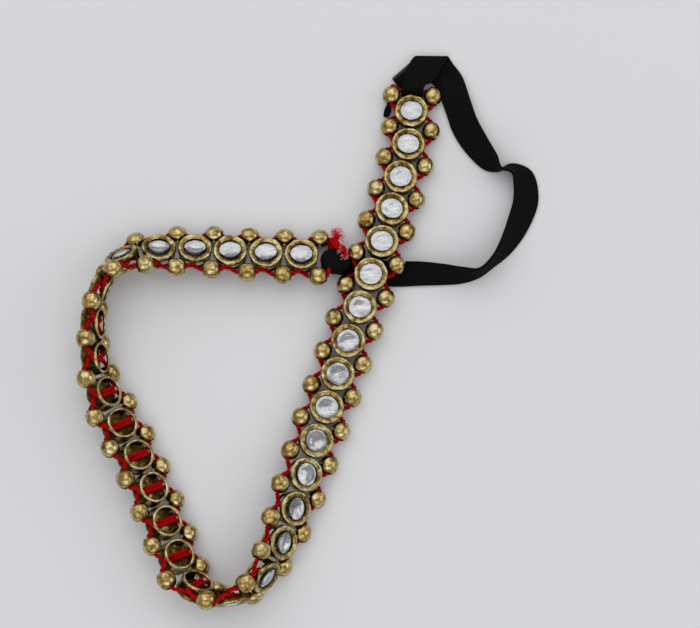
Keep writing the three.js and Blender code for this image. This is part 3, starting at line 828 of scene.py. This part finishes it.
tape_steps = []
for i in range(last_row):
    steps = max(math.ceil((tape_middle(i + 1) - tape_middle(i)).length / STATION_STEP), LEAST_STEPS)
    tape_steps += [i + step / steps for step in range(steps)]
tape_steps.append(last_row)
tape_stations = []
for at in tape_steps:
    line = smooth_line(left, at) - smooth_line(right, at)
    along = tape_middle(min(at + LOOK_ROUND, last_row)) - tape_middle(max(at - LOOK_ROUND, 0))
    face = along.cross(line).normalized()
    centre = tape_middle(at)
    centre.z = max(centre.z, (abs(line.z) + TAPE_THICKNESS * abs(face.z)) / 2)
    tape_stations.append((centre, line, face))
tape = ribbon("elastic", tape_stations, TAPE_THICKNESS, TAPE_COLUMNS)
round_the_tape = range(2 * (TAPE_COLUMNS + 1))
marked(tape, "gather", [max(ease(*DRAWN_IN, at) * ease(*LET_GO, at), ease(*AT_KNOT, at))
                        for at in tape_steps for _ in round_the_tape])
marked(tape, "cut", [CUT_PALENESS * ease(*CUT_END, at) for at in tape_steps for _ in round_the_tape])
elastic = made("elastic", knitting, welded(tape), **KNIT)
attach(elastic, "root")
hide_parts("elastic_band")

# ------------------------------------------------------------
# The elastic's short end. It is a cut piece of the same black knit, rolled in on itself. It comes out beside
# the first bead, where the cord's loop holds it.
END_FROM = 0.5
END_THICKNESS, END_COLUMNS, END_RIBS, END_GATHER = 1.5, 12, 2.0, 0.6
END_ROWS = [
    dict(along=2.3, out=-7.1, depth=-0.8, width=1.2),
    dict(along=3.3, out=-7.45, depth=-1.1, width=1.9),
    dict(along=4.7, out=-7.8, depth=-1.6, width=2.3),
    dict(along=6.1, out=-8.1, depth=-2.1, width=2.3),
    dict(along=6.5, out=-8.2, depth=-2.25, width=1.5),
]
end_axes = strip_frame(END_FROM).to_3x3()
end_stations = []
for row in END_ROWS:
    centre = in_strip(END_FROM, row["along"], row["out"], row["depth"]) / MM
    end_stations.append((centre, end_axes.col[1] * row["width"], -end_axes.col[2]))
stub = ribbon("elastic_end", end_stations, END_THICKNESS, END_COLUMNS)
marked(stub, "gather", [END_GATHER] * len(stub.vertices))
marked(stub, "cut", [0.0] * len(stub.vertices))
elastic_end = made("elastic_end", knitting, welded(stub), **{**KNIT, "ribs": END_RIBS})
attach(elastic_end, "root")
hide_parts("elastic_stub")

# ------------------------------------------------------------
# The knot. The cord's two ends are tied, and the elastic is turned round them into a tight lump. Its ribs run
# over the lump, its turn shows as a step, and the beads around it are pressed into it.
KNOT_MIDDLE, KNOT_HALF = Vector((6.95, 20.2, 4.5)), Vector((5.3, 4.25, 3.1))
KNOT_SIDES, KNOT_ROWS = 96, 56
KNOT_SQUARENESS = 0.88  # below 1 the lump is squarer than a ball
KNOT_RIB, RIB_SLANT, RIB_CREST, RIB_HEIGHT = 0.62, 0.35, 0.6, 0.08
KNOT_STEP, STEP_RUN, STEP_HEIGHT = 1.9, 0.25, 0.5
FIRST_LUMP, NEXT_LUMP = 0.4, 0.35
CREASES, CREASE_SHARPNESS, CREASE_WANDER, CREASE_DEPTH, CREASE_MOST = 7, 8, 0.25, 0.2, 1.2
pressed_radius = bead_radius + 0.15
pressing = [in_strip(link, 0, side * bead_row, 0) / MM
            for link, side in ((5.5, -1), (6.5, -1), (SETTINGS + 0.5, -1), (SETTINGS + 0.5, 1))]
chance = random.Random(11)
creases = [(chance.uniform(0, 2 * math.pi), chance.uniform(-0.6, 0.6), chance.uniform(2, 4))
           for _ in range(CREASES)]


def knot_rib(place):
    """How many ribs lie between the middle of the lump and a place on it."""
    return (place.x + RIB_SLANT * place.y) / KNOT_RIB


def creased(along, turn):
    """How deep the creases are at a place on the lump. Each runs round it and wanders a little."""
    apart = [along - lies_at + CREASE_WANDER * math.sin(waves * turn + start)
             for start, lies_at, waves in creases]
    return min(sum(math.exp(-(CREASE_SHARPNESS * gap) ** 2) for gap in apart), CREASE_MOST)


knot_points = []
for row in range(KNOT_ROWS + 1):
    tip = math.pi * row / KNOT_ROWS
    for step in range(KNOT_SIDES):
        turn = 2 * math.pi * step / KNOT_SIDES
        out = Vector((math.sin(tip) * math.cos(turn), math.cos(tip), math.sin(tip) * math.sin(turn)))
        rounded = Vector([math.copysign(abs(part) ** KNOT_SQUARENESS, part) for part in out])
        place = Vector([rounded[i] * KNOT_HALF[i] for i in range(3)])
        ribbing = abs(math.sin(math.pi * knot_rib(place))) ** RIB_CREST - 1
        lumps = FIRST_LUMP * math.sin(3 * turn + 2 * out.y + 0.6)
        lumps += NEXT_LUMP * math.sin(4 * out.x - 4 * out.y + 1)
        swelling = RIB_HEIGHT * ribbing + lumps * (1 - out.y ** 2) - CREASE_DEPTH * creased(out.y, turn)
        swelling -= STEP_HEIGHT * ease(KNOT_STEP, KNOT_STEP + STEP_RUN, place.x)
        place = KNOT_MIDDLE + place + out * swelling
        for ball in pressing:
            if (place - ball).length < pressed_radius:
                place = ball + (place - ball).normalized() * pressed_radius
        knot_points.append(place * MM)
knot_faces = []
for row in range(KNOT_ROWS):
    for step in range(KNOT_SIDES):
        here, after = row * KNOT_SIDES + step, row * KNOT_SIDES + (step + 1) % KNOT_SIDES
        knot_faces.append((here, after, after + KNOT_SIDES, here + KNOT_SIDES))
lump = bpy.data.meshes.new("elastic_knot")
lump.from_pydata(knot_points, [], knot_faces)
marked(lump, "across", [knot_rib(point / MM) / RIBS % 1 for point in knot_points])
lump = welded(lump)
lump.polygons.foreach_set("use_smooth", [True] * len(lump.polygons))
lump.materials.append(black_knit)
knot = bpy.data.objects.new("knot", lump)
scene.collection.objects.link(knot)
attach(knot, "root")
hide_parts("elastic_knot")

# ------------------------------------------------------------
# The tie. The cord's two ends come out over the knot and are held by one hitch. One is left as a short tail,
# and the other lies over the lump.
TIE_OVER = [(5.6, 27.6, 3.4), (5.6, 26.7, 4.4), (6.2, 25.6, 5.5), (7.6, 25.0, 6.4), (8.9, 24.5, 7.0),
            (9.8, 23.3, 7.8), (10.0, 21.6, 8.1)]
TIE_TAIL = [(7.1, 24.3, 6.6), (6.9, 25.3, 6.3), (6.8, 26.4, 5.6), (6.9, 27.4, 4.8), (7.0, 28.2, 4.3)]
HITCH = [(6.0, 24.9, 5.6), (6.1, 25.7, 5.6), (7.0, 26.0, 6.0), (7.7, 25.4, 6.6), (7.5, 24.4, 7.1),
         (6.6, 24.2, 7.0)]
TAIL_APART, TAIL_RISE = 0.3, 0.3  # the tail's two strands lie side by side, one a little higher
tie_lines = [[Vector((x + away, y, z + TAIL_RISE * away)) * MM for x, y, z in route] for route, away in
             ((TIE_OVER, 0), (TIE_TAIL, -TAIL_APART), (TIE_TAIL, TAIL_APART), (HITCH, 0))]
tie = made("tied_ends", spinning, line_mesh("tied_ends", *tie_lines), finish=red_thread, **PLY)
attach(tie, "root")
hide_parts("cord_tie")

# ------------------------------------------------------------
# The frayed tips. Where the cord was cut, its fibres have teased out, pale pink towards their tips with a
# painted highlight on the fine fibres. Each is a fine curl that starts in the thread.
FIBRE_SIDES, FIBRE_STEPS = 5, 3
teasing, given = tree_with("tease_fibres", "Fibre radius", Finish="Material")
line = node(teasing, "GeometryNodeMeshToCurve", {"Mesh": given["Start"]})
curved = node(teasing, "GeometryNodeCurveSplineType", {"Curve": line.outputs[0]}, spline_type="CATMULL_ROM")
fine = node(teasing, "GeometryNodeSetSplineResolution",
            {"Geometry": curved.outputs[0], "Resolution": FIBRE_STEPS})
ring = node(teasing, "GeometryNodeCurvePrimitiveCircle",
            {"Resolution": FIBRE_SIDES, "Radius": given["Fibre radius"]})
fibre = node(teasing, "GeometryNodeCurveToMesh",
             {"Curve": fine.outputs[0], "Profile Curve": ring.outputs["Curve"], "Fill Caps": True})
completed(teasing, fibre.outputs[0], given["Finish"])

pale_and_highlit_fibre, tree, shader = painted("pale_and_highlit_fibre", roughness=0.8, Specular_IOR_Level=0.2)
# Pale pink towards the tips: the fibres' own paler colour, with a painted highlight on them.
pinks = shades(tree, mark_of(tree, "pale_and_highlit"), (0.0, (0.5, 0.0, 0.001)), (0.45, (0.62, 0.02, 0.03)),
               (1.0, (0.85, 0.5, 0.5)))
tree.links.new(pinks, shader.inputs["Base Color"])
CURL_PLACES = 8
TIP_SCATTER = 0.45
LOWEST_FIBRE = 0.12


def teased(start, heading, spread, length, count, rise, seed):
    """Curls that fan out from a thread's cut tip: each a row of places, which curls more towards its end."""
    chance = random.Random(seed)
    curls = []
    for _ in range(count):
        way = math.radians(heading + chance.gauss(0, spread))
        bend = chance.uniform(-1, 1)
        place = Vector(start) + Vector([chance.uniform(-TIP_SCATTER, TIP_SCATTER) for _ in range(3)])
        lift = chance.uniform(-0.3, 0.5) * rise
        reach = length * chance.uniform(0.6, 1.15) / (CURL_PLACES - 1)
        curl = []
        for step in range(CURL_PLACES):
            curl.append(Vector((place.x, place.y, max(place.z, LOWEST_FIBRE))) * MM)
            way += bend * chance.uniform(0.1, 0.55)
            place += Vector((math.cos(way), math.sin(way), lift * (1 - step / 5))) * reach
        curls.append(curl)
    return curls


def how_pale_and_highlit(curl, step):
    """How pale a fibre is at one of its places, its own pale colour with a painted highlight: most at its
    tip, and every third one only a little.
    """
    return (step / (CURL_PLACES - 1)) ** 0.9 * (1.0 if curl % 3 else 0.4)


curls = teased((7.0, 28.1, 4.3), heading=90, spread=46, length=3.0, count=64, rise=0.3, seed=3)
curls += teased((10.0, 21.5, 8.3), heading=-80, spread=45, length=1.6, count=24, rise=0.2, seed=5)
curls += teased((9.0, 23.2, 8.0), heading=-160, spread=30, length=1.6, count=20, rise=0.1, seed=6)
curl_mesh = line_mesh("frayed_tips", *curls)
marked(curl_mesh, "pale_and_highlit",
       [how_pale_and_highlit(curl, step) for curl in range(len(curls)) for step in range(CURL_PLACES)])
frayed = made("frayed_tips", teasing, curl_mesh, fibre_radius=0.085 * MM, finish=pale_and_highlit_fibre)
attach(frayed, "root")
